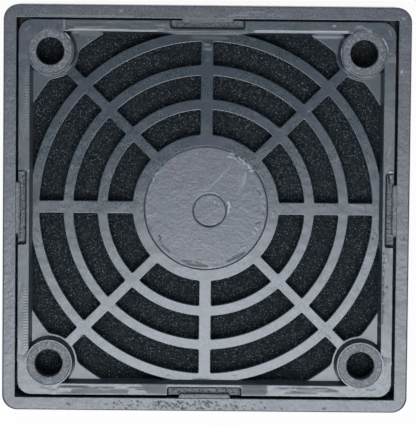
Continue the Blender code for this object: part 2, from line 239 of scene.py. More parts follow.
PAD_MARKS = (
    (25.5, 28.9, 25.9, 28.3, 0.16, 0.02, 0.3), (25.9, 28.4, 26, 28.9, 0.14, 0.02, 0.4),
    (27.9, 27.5, 28.2, 27.1, 0.14, 0.02, 0.4), (28.2, 27, 28.5, 26.5, 0.16, 0.02, 0.5),
    (28.6, 26.2, 28.75, 25.4, 0.14, 0.01, 0.3), (23.5, 29.4, 24.8, 29.2, 0.14, 0.01, 0.2),
    (24.8, 29.2, 25.6, 28.8, 0.12, 0.01, 0.3), (28.9, 25, 29.6, 24.8, 0.16, -0.02, -0.5),
    (21.4, 25.8, 21.3, 25, 0.12, 0, 0.3), (22, 22.9, 22.6, 22.3, 0.13, 0.01, 0.4),
    (24.6, 21.3, 26, 21.4, 0.12, 0, 0.3), (-22.4, 27.7, -22, 27.2, 0.18, 0.02, 0.7),
    (-27.9, 22.6, -26.9, 21.9, 0.13, 0.01, 0.25), (-28.6, -23.4, -28.3, -24.6, 0.2, 0, 0.12),
    (-26.2, -29, -24, -29.3, 0.25, 0.01, 0.12), (28.8, -24, 29, -25, 0.18, 0.01, 0.25),
    (26, -29, 27.5, -28.8, 0.2, 0.01, 0.15), (23.6, -28.9, 24.7, -29.2, 0.18, 0.01, 0.2),
    (-28.9, 28.3, -28.2, 28.9, 0.2, 0, 0.1), (29.2, 28, 28.9, 28.8, 0.2, 0, 0.12))
RIM_MARKS_AND_HIGHLIGHTS = (
    (-22.85, 28.7, -22.85, 30.2, 0.14, 0.02, 0.35), (-19.5, -29, -17, -28.95, 0.12, 0, -0.4),
    (-17.5, -28.75, -14.5, -28.8, 0.12, 0, -0.35), (-20.2, -29.3, -18.4, -29.25, 0.1, 0, -0.3),
    (-16.5, -29.1, -15.2, -29.15, 0.12, 0.02, 0.3), (14, -28.6, 17, -28.75, 0.12, -0.02, -0.5),
    (17, -28.75, 19, -28.6, 0.12, -0.02, -0.4), (19, -28.6, 21.5, -29.1, 0.14, -0.02, -0.35),
    (15, -29, 18, -29.1, 0.15, 0.02, 0.25), (18.5, -29.2, 21, -29.3, 0.12, 0.02, 0.3),
    (-9.5, -28.5, -6.5, -28.5, 0.9, 0, -0.14), (-8.8, -29.2, -6.5, -29.3, 0.9, 0, -0.22),
    (-12.2, -28.9, -9, -28.7, 0.12, 0, -0.35), (-11, -29.2, -8.4, -29.1, 0.12, 0, -0.4),
    (-10.4, -28.4, -7.6, -28.45, 0.1, 0, -0.4), (-9.6, -28.95, -8.8, -28.8, 0.14, 0, -0.5),
    (6.4, -28.5, 9.6, -28.5, 0.75, 0, -0.42), (6.4, -29.3, 9.6, -29.3, 0.75, 0, -0.42),
    (-22, 29.45, -15, 29.4, 0.4, 0, -0.36), (-20, 29.15, -11, 29.25, 0.14, 0.01, -0.45),
    (-14.5, 29.5, -8.2, 29.45, 0.34, 0, -0.42), (-19.5, 28.9, -14, 28.85, 0.14, 0, -0.2),
    (-12.5, 28.7, -8.2, 28.75, 0.42, 0, -0.4), (-11, 28.95, -7.6, 29, 0.16, 0, -0.3),
    # The next three rows, along the inner edge and wall of the high side, are painted highlights; the first
    # and third are also cut in as shallow grooves
    (7.6, 28.25, 22.3, 28.3, 0.24, -0.075, 0.35), (15, 27.75, 22.3, 27.75, 0.3, 0, 0.2),
    (-21.9, 28.26, -8, 28.28, 0.18, -0.05, 0.2), (13, -29.55, 18, -29.5, 0.3, 0.01, -0.12),
    (-16, 29.3, -12.5, 29.2, 0.5, -0.02, -0.35), (-21, 29, -17, 29.1, 0.4, 0.02, -0.3),
    (20, 29.45, 20.4, 29.4, 0.14, 0.03, 0.5), (28.75, 6.4, 29.3, 7.3, 0.12, 0, 0.25),
    (28.9, 8.4, 29.4, 10.2, 0.12, 0, 0.2), (29.2, 6.15, 29.45, 6.1, 0.13, 0.03, 0.6),
    (29.3, 6.25, 29.7, 6.1, 0.16, 0.03, 0.8), (-28.4, 6, -28.3, 5.7, 0.16, 0.03, 0.7),
    (-28.6, -6.4, -28.5, -8, 0.12, 0.01, 0.3), (-21, -29.5, -12.5, -29.45, 0.6, 0, -0.17),
    (28.55, -8.2, 28.5, -13, 0.2, -0.02, -0.22), (28.5, -13, 28.45, -18, 0.2, -0.02, -0.2),
    (29.1, -12, 29.2, -12.3, 0.15, -0.03, -0.5), (-9, 28.9, -7, 28.6, 0.2, 0.01, 0.2))
WALL_MARKS = (
    (27.98, -17.2, 28, -18, 0.45, 0, -0.9), (28.1, -18.2, 28.1, -18.7, 0.3, 0, 0.35),
    (28, -19, 27.95, -20.2, 0.45, 0, -0.8), (28.1, -20.5, 28.1, -20.8, 0.3, 0, 0.3),
    (27.98, -21, 27.98, -21.8, 0.45, 0, -0.7))
FRAME_MARKS = (
    (30.9, 22.2, 30.95, 22.4, 0.2, 0.03, 0.9), (31.7, -4, 31.8, -4.6, 0.14, -0.03, -0.5),
    (-31.2, 17, -31.1, 17.3, 0.16, -0.03, -0.5), (-31.9, -8.2, -31.8, -8.9, 0.13, 0.02, 0.4),
    (-14, 31.6, -13.6, 31.7, 0.16, 0.02, 0.4), (3.2, 30.9, 6.4, 31.15, 0.16, 0, 0.22),
    (5, 31.45, 9, 31.6, 0.14, 0, 0.2), (7.5, 31.1, 10.4, 31.2, 0.13, 0, 0.16),
    (19, -31.9, 19.5, -31.8, 0.16, -0.03, -0.5), (-22, -31.4, -21.7, -31.5, 0.18, -0.03, -0.6),
    (-27, 30.8, -12, 30.7, 0.16, 0, 0.15), (31, 30.9, 31.3, 30.7, 0.2, 0.02, 0.3))
NOTCH_MARKS_AND_SHADOWS = (
    (29.2, 5.55, 29.26, 4.9, 0.34, -0.03, -1), (29.26, 4.9, 29.34, 4.3, 0.22, -0.02, -1),
    (28.98, 5.45, 29.05, 4.75, 0.14, 0, 0.8), (29.5, 5.4, 29.55, 5, 0.12, 0, 0.7),
    (29, 4.2, 29.05, 2.6, 0.1, -0.02, -0.5), (-29.5, 5.5, -28.98, 5.15, 0.3, 0, 0.3),
    (-29.4, 4.85, -29.02, 5.4, 0.12, -0.02, -0.8), (-29.25, 4.5, -29.2, 1.5, 0.1, -0.02, -0.4),
    # The last two rows are painted shadow in the low ends of the side notches, beside real shallow dips
    (28.95, -5.66, 29.75, -5.66, 0.32, -0.03, -1), (-28.95, -5.66, -29.75, -5.66, 0.32, -0.03, -1))

# Shades of the corner plates outside the last ring, and painted light on the rim's left inner wall, lighter
# because light falls on it
PLATE_SHADE = 0.035
PAINTED_LEFT_WALL_LIGHT = 0.06

# Specks scraped along the rim's right side: mean and spread of X, and range of Y
SCRAPES = 44
SCRAPE_X = (28.55, 0.06)
SCRAPE_Y = (-17.5, -6.8)

# Chatter of the tool on the rim's left side: its place in X and its depth
CHATTER_X = -28.72
CHATTER_DEPTH = 0.016

# Nicks along the edge of the hub's disc: range of angles, farthest radius and mean distance from it
NICKS = 60
NICK_ANGLES = (-0.6, 3.6)
NICK_RADIUS = 9.75
NICK_SPREAD = 0.45

# Pits of the frame's near side: mean and spread of X, and range of Y
PITS = 160
PIT_X = (-3.0, 6.0)
PIT_Y = (-32.15, -30.75)

# Each plastic: darker and lighter colour of its clouds, roughness from and to, and depth of its grain
PLASTICS = {
    "guard": ((0.004, 0.019, 0.027), (0.011, 0.020, 0.033), 0.14, 0.20, 0.0007),
    "rim": ((0.026, 0.042, 0.053), (0.040, 0.046, 0.060), 0.16, 0.25, 0.003),
    "hub": ((0.036, 0.054, 0.064), (0.057, 0.056, 0.070), 0.24, 0.34, 0.010),
    "boss": ((0.038, 0.047, 0.058), (0.052, 0.056, 0.068), 0.34, 0.46, 0.014),
    "notch": ((0.024, 0.031, 0.040), (0.032, 0.037, 0.047), 0.30, 0.42, 0.012),
    "frame": ((0.040, 0.048, 0.060), (0.053, 0.056, 0.070), 0.22, 0.30, 0.005),
    "barb": ((0.030, 0.037, 0.046), (0.042, 0.046, 0.056), 0.30, 0.42, 0.012)}
# Colour of wear and painted highlights, and colour of stains and painted shade
BARE_AND_LIGHT_COLOUR = (0.56, 0.60, 0.66)
STAIN_AND_SHADE_COLOUR = (0.008, 0.012, 0.016)

# The daylight's slight blue. Each softbox: azimuth and tilt in degrees, distance and size in metres,
# and radiance
COOL = (0.945, 0.993, 1.062)
SOFTBOXES = {"key": (-85.4, 20.5, 0.838, 0.465, 8.2), "fill": (115, 48, 1.2, 0.8, 1.2)}
LIT_PLACE = (0, 0, 0.01)
DOME_LIGHT = 0.38
FLOOR_SIZE = 6.0
FLOOR_DROP = 0.00005
FLOOR_WHITE = 0.93

# The photograph's view: place and aim in millimetres, and the picture's right
LENS = 258.35
SENSOR = 36
CAMERA_PLACE = (-1.72, 38.56, 496.67)
CAMERA_AIM = (0.30, -0.445, 11.0)
CAMERA_RIGHT = (0.9999, 0.0097, 0.0034)


def smooth_step(share):
    """Three times the square less twice the cube of a share that is held between 0 and 1."""
    share = np.clip(share, 0, 1)
    return share * share * (3 - 2 * share)


def near_top(height, top):
    """1 near a piece's top and 0 on the walls under it."""
    return np.clip((height - top) / 0.1 + 1.2, 0, 1)


def quarter_turn(number):
    """The plan's matrix for a number of quarter turns about Z."""
    cos, sin = round(math.cos(number * math.pi / 2)), round(math.sin(number * math.pi / 2))
    return np.array([[cos, -sin], [sin, cos]])


def offset_outline(outline, distance):
    """A closed outline moved to its right: every point goes along the mean of the normals of its two
    edges, lengthened by one over the cosine of half their turn, so that both edges move the distance."""
    ahead = np.roll(outline, -1, 0) - outline
    ahead = ahead / np.linalg.norm(ahead, axis=1, keepdims=True)
    normal = np.stack([ahead[:, 1], -ahead[:, 0]], 1)
    before = np.roll(normal, 1, 0)
    mitre = (normal + before) / (1 + (normal * before).sum(1, keepdims=True))
    return outline + np.reshape(distance, (-1, 1)) * mitre


def rounded_section(corners, radii):
    """Points of an open section with rounded corners: each rounding is an arc that touches both of
    its straights, with a support point beyond each end so that the flats stay flat in shading."""
    corners = np.array(corners, float)
    points = [corners[0]]
    for before, corner, after, radius in zip(corners, corners[1:], corners[2:], radii):
        if not radius:
            points.append(corner)
            continue
        back = (before - corner) / np.linalg.norm(before - corner)
        ahead = (after - corner) / np.linalg.norm(after - corner)
        half = math.acos(np.clip(back @ ahead, -1, 1)) / 2
        reach = radius / math.tan(half)
        middle = corner + (back + ahead) / np.linalg.norm(back + ahead) * radius / math.sin(half)
        start, end = corner + back * reach, corner + ahead * reach
        turn = math.pi - 2 * half
        share = np.linspace(0, 1, ROUNDING_STEPS + 1)[:, None]
        arc = np.sin((1 - share) * turn) * (start - middle) + np.sin(share * turn) * (end - middle)
        points.append(start + back * SUPPORT)
        points.extend(middle + arc / math.sin(turn))
        points.append(end + ahead * SUPPORT)
    points.append(corners[-1])
    return np.array(points)


def side_path(start, end, centre=None, step=0.5):
    """Points from start to end, along a line or the shorter arc about a centre, at even steps."""
    start, end = np.array(start, float), np.array(end, float)
    if centre is None:
        count = max(2, int(np.linalg.norm(end - start) / (4 * step)) + 2)
        return start + np.linspace(0, 1, count)[:, None] * (end - start)
    centre = np.array(centre, float)
    radius = np.linalg.norm(start - centre)
    first = math.atan2(*(start - centre)[::-1])
    turn = (math.atan2(*(end - centre)[::-1]) - first + math.pi) % (2 * math.pi) - math.pi
    angle = first + np.linspace(0, 1, max(4, int(abs(turn) * radius / step) + 2)) * turn
    return centre + radius * np.stack([np.cos(angle), np.sin(angle)], 1)


def trimmed(path, at_start, at_end):
    """A path shortened at both ends, its points spread again by length along it."""
    length = np.concatenate([[0], np.cumsum(np.linalg.norm(np.diff(path, axis=0), axis=1))])
    wanted = np.linspace(at_start, length[-1] - at_end, len(path))
    return np.stack([np.interp(wanted, length, path[:, i]) for i in range(2)], 1)


def filleted_outline(corners, trims, centres=None):
    """A closed outline through corners. Side i runs from corner i to the next, straight or about
    centres[i], and every corner is cut back by its trim and bridged by a quadratic curve."""
    count = len(corners)
    centres = centres or [None] * count
    trims = np.broadcast_to(trims, count)
    sides = []
    for i in range(count):
        path = side_path(corners[i], corners[(i + 1) % count], centres[i])
        sides.append(trimmed(path, trims[i], trims[(i + 1) % count]))
    share = np.array([0.25, 0.5, 0.75])[:, None]
    outline = []
    for i in range(count):
        corner, before, after = np.array(corners[i]), sides[i - 1][-1], sides[i][0]
        outline.append((1 - share) ** 2 * before + 2 * share * (1 - share) * corner + share ** 2 * after)
        outline.append(sides[i])
    return np.concatenate(outline)


def circle_outline(radius, count, middle=(0.0, 0.0)):
    """Points round a circle, anticlockwise."""
    angle = np.arange(count) * 2 * math.pi / count
    return np.array(middle) + radius * np.stack([np.cos(angle), np.sin(angle)], 1)


def square_rings(half, corner, along):
    """Rings of one section carried round a square. half and corner are the half side and the corner
    radius of each ring, as arrays of stations by rings or of rings. Each side has the stations along
    and then a quarter circle, and the four sides are quarter turns of the first."""
    along = np.array(along, float)[:, None]
    half = np.broadcast_to(half, (len(along), np.shape(half)[-1]))
    corner = np.broadcast_to(corner, half.shape)
    room = half - corner
    straight = np.stack([half, np.clip(along, -room, room)], -1)
    angle = np.linspace(0, math.pi / 2, CORNER_STEPS + 1)[1:-1, None]
    bend = np.stack([room[-1] + corner[-1] * np.cos(angle), room[-1] + corner[-1] * np.sin(angle)], -1)
    first = np.stack([half[0], -room[0]], -1)[None]
    end = np.stack([half[-1], room[-1]], -1)[None]
    side = np.concatenate([first, straight, end, bend])
    return np.concatenate([side @ quarter_turn(number).T for number in range(4)])


def inside_outline(points, outline):
    """Whether each point lies in an outline: an odd number of edges crosses the ray to its right."""
    x, y = points[:, :1], points[:, 1:2]
    x1, y1 = outline.T
    x2, y2 = np.roll(outline, -1, 0).T
    crosses = (y1 > y) != (y2 > y)
    rise = np.where(y2 == y1, 1, y2 - y1)
    return (crosses & (x < (x2 - x1) * (y - y1) / rise + x1)).sum(1) % 2 == 1


def flat_face(loops, upwards, inner=np.zeros((0, 2))):
    """Triangles between an outer loop and the loops in it, as indices into all their points and then
    the inner points."""
    points = np.concatenate(loops + [inner])
    start = np.cumsum([0] + [len(loop) for loop in loops])
    edges = [(a + i, a + (i + 1) % (b - a)) for a, b in zip(start, start[1:]) for i in range(b - a)]
    made = delaunay_2d_cdt([Vector(p) for p in points], edges, [], 1, 1e-7)
    index = np.array([found[0] for found in made[3]])
    triangles = index[np.array(made[2])]
    keep = between_loops(points[triangles].mean(1), loops)
    triangles = triangles[keep]
    return triangles if upwards else triangles[:, ::-1]


def between_loops(points, loops, margin=0.0):
    """Whether each point lies in the first loop and outside the others, a margin away from them."""
    keep = inside_outline(points, offset_outline(loops[0], -margin))
    for loop in loops[1:]:
        keep[keep] = ~inside_outline(points[keep], offset_outline(loop, margin))
    return keep


def grid_faces(rows, columns, close_rows=False, close_columns=False):
    """Quads of a grid of points, numbered row by row."""
    i = np.arange(rows if close_rows else rows - 1)[:, None]
    j = np.arange(columns if close_columns else columns - 1)[None]
    after_i, after_j = (i + 1) % rows, (j + 1) % columns
    corners = [i * columns + j, after_i * columns + j, after_i * columns + after_j, i * columns + after_j]
    return np.stack([np.broadcast_to(c, (i.size, j.size)) for c in corners], -1).reshape(-1, 4)


def segments_relief(x, y, marks):
    """Rise and shade of marks at plan places. A mark fades as the smooth step of 1 - distance / width,
    where the distance is to the segment from its start to its end."""
    rise, shade = np.zeros_like(x), np.zeros_like(x)
    for x1, y1, x2, y2, width, height, tone in marks:
        run, lift = x2 - x1, y2 - y1
        share = np.clip(((x - x1) * run + (y - y1) * lift) / (run * run + lift * lift), 0, 1)
        near = smooth_step(1 - np.hypot(x - x1 - share * run, y - y1 - share * lift) / width)
        rise += height * near
        shade = np.where(abs(tone) * near > abs(shade), tone * near, shade)
    return rise, shade


def ripple(x, y, size, seed):
    """Smooth noise from -1 to 1: random values on a grid of a size, joined by smooth steps."""
    count = 128
    values = np.random.default_rng(seed).random((count, count)) * 2 - 1
    i, j = np.floor(x / size).astype(int), np.floor(y / size).astype(int)
    s, t = smooth_step(x / size - i), smooth_step(y / size - j)
    low, high = (values[i % count, row % count] * (1 - s) + values[(i + 1) % count, row % count] * s
                 for row in (j, j + 1))
    return low * (1 - t) + high * t


def domed(vertices):
    """Points of the grille raised by its dome: DOME times the square of 1 less the squares of X and Y
    over their reaches."""
    share = np.clip(1 - ((vertices[..., :2] / DOME_REACH) ** 2).sum(-1), 0, 1)
    return vertices + (DOME * share ** 2)[..., None] * (0, 0, 1)


def split_flat(section, height, step):
    """A section whose flat run at a height has points at even steps."""
    points = [section[:1]]
    for start, end in zip(section, section[1:]):
        length = np.linalg.norm(end - start)
        count = int(length / step) if start[1] == end[1] == height and length > 2 * step else 1
        points.append(start + np.linspace(0, 1, count + 1)[1:, None] * (end - start))
    return np.concatenate(points)


def add_piece(name, vertices, faces, material, node, shade=None, smooth=35):
    """A named piece of one node: millimetres to metres, doubles merged, faces turned outwards. Pieces
    of the guard are worked out about its own middle and moved to its place in the retainer. shade is
    kept at the vertices for the material, and edges over smooth degrees are sharp."""
    vertices = vertices.reshape(-1, 3)
    if node == "finger_guard":
        vertices = vertices + np.append(GUARD_MIDDLE, 0)
    mesh = bpy.data.meshes.new(name)
    mesh.from_pydata((vertices * MM).tolist(), [], [f for group in faces for f in group.tolist()])
    if shade is not None:
        mesh.attributes.new("shade", "FLOAT", "POINT").data.foreach_set("value", np.ravel(shade))
    shape = bmesh.new()
    shape.from_mesh(mesh)
    bmesh.ops.remove_doubles(shape, verts=shape.verts, dist=MM * 1e-4)
    bmesh.ops.dissolve_degenerate(shape, edges=shape.edges, dist=MM * 1e-4)
    bmesh.ops.recalc_face_normals(shape, faces=shape.faces)
    if shape.calc_volume(signed=True) < 0:
        bmesh.ops.reverse_faces(shape, faces=shape.faces)
    shape.to_mesh(mesh)
    shape.free()
    mesh.materials.append(material)
    mesh.shade_smooth()
    mesh.set_sharp_from_angle(angle=math.radians(smooth))
    made = bpy.data.objects.new(name, mesh)
    bpy.context.scene.collection.objects.link(made)
    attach(made, "root")
    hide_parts(node)
    return made


def stacked_plate(stacks, step=None):
    """Vertices and faces of a plate. A stack holds one wall as rings by points by XYZ. The first stack
    bounds the plate: its first ring the top face and its last the bottom face. The others pierce it.
    With a step, the top face also has a grid of points."""
    vertices = np.concatenate([stack.reshape(-1, 3) for stack in stacks])
    faces, tops, bottoms = [], [], []
    start = 0
    for stack in stacks:
        rings, count = stack.shape[:2]
        faces.append(start + grid_faces(rings, count, close_columns=True))
        tops.append(start + np.arange(count))
        bottoms.append(start + (rings - 1) * count + np.arange(count))
        start += rings * count
    loops = [vertices[loop][:, :2] for loop in tops]
    grid = np.zeros((0, 2))
    if step:
        low, high = loops[0].min(0), loops[0].max(0)
        lines = [np.arange(low[i] + step / 2, high[i], step) for i in range(2)]
        grid = np.stack(np.meshgrid(*lines), -1).reshape(-1, 2)
        grid = grid[between_loops(grid, loops, step * 0.4)]
    index = np.append(np.concatenate(tops), len(vertices) + np.arange(len(grid)))
    faces.append(index[flat_face(loops, True, grid)])
    index = np.concatenate(bottoms)
    faces.append(index[flat_face([vertices[loop][:, :2] for loop in bottoms], False)])
    vertices = np.concatenate([vertices, np.insert(grid, 2, stacks[0][0, 0, 2], 1)])
    return vertices, faces


def with_relief(vertices, top, marks, seed):
    """Vertices and shades of a plate whose flat top carries marks and faint ripples. Nothing rises
    over the guard's top."""
    x, y, z = vertices.T
    on_top = near_top(z, top)
    rise, shade = segments_relief(x, y, marks)
    z = z + on_top * (rise + 0.003 * ripple(x, y, 0.5, seed) + 0.006 * ripple(x, y, 3.1, seed + 1) - 0.01)
    return np.stack([x, y, np.minimum(z, GUARD_TOP)], 1), shade * on_top


def wall_stack(outline, section):
    """The rings of a wall: an outline moved sideways by each offset of a section, at its heights."""
    return np.stack([np.insert(offset_outline(outline, offset), 2, z, 1) for offset, z in section])


def hole_section(top, bottom, top_edge=EDGE, bottom_edge=SHARP):
    """The section of a plain hole's wall, with its top and bottom edges rounded."""
    corners = [(top_edge + 2 * SUPPORT, top), (0, top), (0, bottom), (bottom_edge + 2 * SUPPORT, bottom)]
    return rounded_section(corners, (top_edge, bottom_edge))


def at_distance(radius, offset, angle=0.0):
    """The point at a radius from the middle and at an offset from the line that leaves it at an angle."""
    along = math.sqrt(radius ** 2 - offset ** 2)
    cos, sin = math.cos(angle), math.sin(angle)
    return np.array([along * cos - offset * sin, along * sin + offset * cos])


def octants(outline):
    """An outline of the first octant, repeated by quarter turns and mirrored, all anticlockwise."""
    pair = (outline, outline[::-1] * (1, -1))
    return [half @ quarter_turn(number).T for number in range(4) for half in pair]


def ring_window(inner, outer):
    """One window between two rings and two spokes, in the first octant."""
    straight, diagonal = STRAIGHT_SPOKE / 2, -DIAGONAL_SPOKE / 2
    corners = [at_distance(inner, straight), at_distance(outer, straight),
               at_distance(outer, diagonal, math.pi / 4), at_distance(inner, diagonal, math.pi / 4)]
    return filleted_outline(corners, WINDOW_FILLET, [None, (0, 0), None, (0, 0)])


def corner_window(wall):
    """The window outside the last ring: ring, wall, field circle, boss flange and diagonal spoke."""
    inner, outer = CORNER_GAP
    hole_distance = HOLE_PLACE * math.sqrt(2)
    along = (outer ** 2 - FLANGE_RADIUS ** 2 + hole_distance ** 2) / (2 * hole_distance)
    flange_meets_field = at_distance(outer, -math.sqrt(outer ** 2 - along ** 2), math.pi / 4)
    spoke_end = hole_distance - math.sqrt(FLANGE_RADIUS ** 2 - (DIAGONAL_SPOKE / 2) ** 2)
    diagonal = -DIAGONAL_SPOKE / 2
    corners = [(wall, math.sqrt(inner ** 2 - wall ** 2)), (wall, math.sqrt(outer ** 2 - wall ** 2)),
               flange_meets_field, at_distance(math.hypot(spoke_end, diagonal), diagonal, math.pi / 4),
               at_distance(inner, diagonal, math.pi / 4)]
    centres = [None, (0, 0), (HOLE_PLACE, HOLE_PLACE), None, (0, 0)]
    return filleted_outline(corners, [0.2, 0.2, 0.6, WINDOW_FILLET, WINDOW_FILLET], centres)


def guard_grille(material):
    """The flat grille: rings and spokes are what is left between its windows. Its outer edge is
    hidden in the rim's wall, and so are the straight sides of the corner windows."""
    hidden = (WALL_FOOT + SKIRT_INNER) / 2
    edge = (SKIRT_INNER + GUARD_OUTER) / 2
    outer = edge * np.array([(-1, -1), (1, -1), (1, 1), (-1, 1)])
    stacks = [wall_stack(outer, [(0, GRILLE_TOP), (0, GRILLE_BOTTOM)])]
    section = hole_section(GRILLE_TOP, GRILLE_BOTTOM)
    for window in [ring_window(*gap) for gap in RING_GAPS] + [corner_window(hidden)]:
        stacks += [wall_stack(outline, section) for outline in octants(window)]
    seat = [(0, GRILLE_TOP), (0, GRILLE_BOTTOM + SEAT_WIDTH), (SEAT_WIDTH, GRILLE_BOTTOM)]
    for _, x, y in CORNERS:
        hole = circle_outline(HOLE_RADIUS, 48, (x * HOLE_PLACE, y * HOLE_PLACE))
        stacks.append(wall_stack(hole, seat))
    disc = circle_outline(HUB_DISC_RADIUS, 144)
    stacks.append(wall_stack(disc, hole_section(GRILLE_TOP, GRILLE_BOTTOM, 0.05, 0.05)))
    vertices, faces = stacked_plate(stacks, GRILLE_STEP)
    vertices, shade = with_relief(vertices, GRILLE_TOP, GRILLE_MARKS_AND_HIGHLIGHTS, SEED + 30)
    outside = np.hypot(vertices[:, 0], vertices[:, 1]) > CORNER_GAP[1] - TUCK
    shade = np.where(outside & (shade == 0), PLATE_SHADE, shade)
    add_piece("grille", domed(vertices), faces, material, "finger_guard", shade)


def notch_wall(along):
    """Distance of the rim's outer wall from the middle: in a notch it stands further in, and a
    quarter circle rounds the notch's ends in plan."""
    into = np.clip(np.abs(along) - (NOTCH_LENGTH / 2 - NOTCH_CORNER), 0, NOTCH_CORNER)
    return NOTCH_WALL + NOTCH_CORNER - np.sqrt(NOTCH_CORNER ** 2 - into ** 2)


def guard_rim(material):
    """The square rim with its skirt: one closed section carried round the square, whose outer top
    edge steps in at the notches. Its top rises towards the pads in a smooth step and carries waves,
    wear, painted highlights along the inner edge of its high side, and the tool's chatter. Its inner
    wall has painted light on the left and stains on the right."""
    half_notch = NOTCH_LENGTH / 2
    flat = half_notch - NOTCH_CORNER
    notch = np.concatenate([np.linspace(-half_notch, -flat, 6)[:-1], np.linspace(-flat, flat, 45),
                            np.linspace(flat, half_notch, 6)[1:]])
    side = np.linspace(half_notch, RIM_REACH, 150)
    along = np.concatenate([-side[::-1], notch, side])
    wall = np.concatenate([GUARD_OUTER + side * 0, notch_wall(notch), GUARD_OUTER + side * 0])

    top = rounded_section([(WALL_FOOT, GRILLE_TOP), (RIM_INNER, RIM_TOP), (GUARD_OUTER, RIM_TOP),
                           (GUARD_OUTER, NOTCH_FLOOR)], (EDGE, GAP_EDGE))
    top = split_flat(top, RIM_TOP, RIM_STEP)
    skirt = rounded_section([(GUARD_OUTER, NOTCH_FLOOR), (GUARD_OUTER, SKIRT_BOTTOM),
                             (SKIRT_INNER, SKIRT_BOTTOM), (SKIRT_INNER, GRILLE_BOTTOM + TUCK)],
                            (EDGE, EDGE))
    section = np.concatenate([[(WALL_FOOT, GRILLE_BOTTOM + TUCK)], top, skirt])
    floor_ring = len(top)
    moves = np.zeros(len(section))
    moves[1:floor_ring + 1] = np.interp(top[:, 0], [RIM_INNER + 0.2, GUARD_OUTER - 0.2], [0, 1])
    half = section[:, 0] + moves * (wall - GUARD_OUTER)[:, None]
    half[:, floor_ring] += NOTCH_DRAFT * (GUARD_OUTER - wall) / NOTCH_INSET
    corner = np.where(section[:, 0] > (RIM_INNER + GUARD_OUTER) / 2, GUARD_CORNER, SHARP)
    corner = np.where((section[:, 0] < GUARD_OUTER - EDGE) & (section[:, 1] < GRILLE_BOTTOM + SHARP),
                      SKIRT_CORNER, corner)
    plan = square_rings(half, corner, along)
    height = np.broadcast_to(section[:, 1], plan.shape[:2])
    in_notch = abs(plan).min(-1)[:, floor_ring] < half_notch + TUCK
    plan[in_notch, floor_ring] *= np.where(abs(plan[in_notch, floor_ring]) < half_notch + TUCK,
                                           1 - NOTCH_DRAFT / half_notch, 1)
    x, y = plan[..., 0], plan[..., 1]
    on_top = near_top(height, RIM_TOP)
    on_wall = (height > GRILLE_TOP - TUCK) & (height < RIM_TOP - SHARP) & (abs(plan).max(-1) < RIM_INNER)
    stains = segments_relief(x, y, WALL_MARKS)[1]
    # Painted light makes the left inner wall lighter where light falls on it; the right wall carries stains
    wall_light_and_stains = on_wall * np.where(x < SHARP - WALL_FOOT, PAINTED_LEFT_WALL_LIGHT, stains)

    draw = np.random.default_rng(SEED + 40)
    scrape_x, scrape_y = draw.normal(*SCRAPE_X, SCRAPES), draw.uniform(*SCRAPE_Y, SCRAPES)
    scrapes = np.stack([scrape_x, scrape_y, scrape_x, scrape_y + draw.uniform(0.05, 0.3, SCRAPES),
                        draw.uniform(0.14, 0.2, SCRAPES), draw.uniform(-0.02, 0.02, SCRAPES),
                        draw.uniform(-0.9, 0.6, SCRAPES)], 1)
    rise, shade = segments_relief(x, y, RIM_MARKS_AND_HIGHLIGHTS + tuple(scrapes))
    along_rim, across_rim = np.where(abs(x) > abs(y), (y, x), (x, y))
    rise += (PAD_STEP - TUCK) * smooth_step((abs(along_rim) - RISE_START) / RISE_LENGTH)
    rise -= CUT_DEPTH * np.clip((abs(along_rim) - CUT_START) / CUT_LENGTH, 0, 1)
    waves = ripple(along_rim / 5, across_rim, 0.5, SEED + 2) * ripple(x, y, 7, SEED + 3)
    wavy = 0.012 + 0.03 * np.clip((abs(x) - 11) / 3, 0, 1) * (y < -28)
    chatter = np.clip((abs(y) - 12) * (24 - abs(y)) / 20, 0, 1)
    chatter *= np.clip(1.4 - abs(x - CHATTER_X) / 0.25, 0, 1)
    height = height + on_top * (rise - 0.01 + wavy * waves + CHATTER_DEPTH * chatter * np.sin(y * 14))
    vertices = np.concatenate([plan, np.minimum(height, GUARD_TOP)[..., None]], -1)
    faces = grid_faces(*plan.shape[:2], close_rows=True, close_columns=True)
    add_piece("rim", vertices, [faces], material, "finger_guard", shade * on_top + wall_light_and_stains)


def rough_plate(name, low, high, half, top, seed, quarter, marks, material, node, flecks=0.2):
    """A thin closed grid on one side of the square, quarter turns on from +X. It spans low to high
    across and twice half along. Its top is uneven by fine ripples, whose crests and hollows are
    flecked, and painted dark along its inner edge and its ends as painted shade where it meets the walls."""
    rows, count = 13, int(30 * half)
    across, along = np.meshgrid(np.linspace(low, high, rows), np.linspace(-half, half, count), indexing="ij")
    x, y = np.tensordot(quarter_turn(quarter), (across, along), 1)
    rough = ripple(x, y, 0.13, seed)
    rise, shade = segments_relief(x, y, marks)
    fleck = np.where(abs(rough) > 0.25, np.minimum(0.9 * rough, flecks * rough), 0)
    shade = np.where(shade == 0, fleck, shade)
    # Painted shade: the plate is darkened along its inner edge and its ends, where it meets the walls
    edge = np.clip(1 - np.minimum(across - low, half - abs(along)) / PLATE_EDGE_SHADE, 0, 1)
    shade = np.where(edge > 0.2, np.minimum(shade, -0.8 * edge), shade)
    upper = np.stack([x, y, top + PLATE_ROUGH * (rough - 1) + np.minimum(rise, 0)], -1)
    under = np.stack([x, y, top - PLATE_THICKNESS + 0 * x], -1)
    side = np.concatenate([np.arange(rows), np.arange(2 * rows - 1, rows - 1, -1)])
    ends = [np.stack([side[:rows] * count + j, side[rows:] * count + j], 1) for j in (0, count - 1)]
    caps = [np.stack([e[:-1, 0], e[1:, 0], e[1:, 1], e[:-1, 1]], 1) for e in ends]
    faces = [grid_faces(2 * rows, count, close_rows=True), caps[0], caps[1][:, ::-1]]
    add_piece(name, np.concatenate([upper, under[::-1]]), faces, material, node,
              np.pad(shade, ((0, rows), (0, 0))))


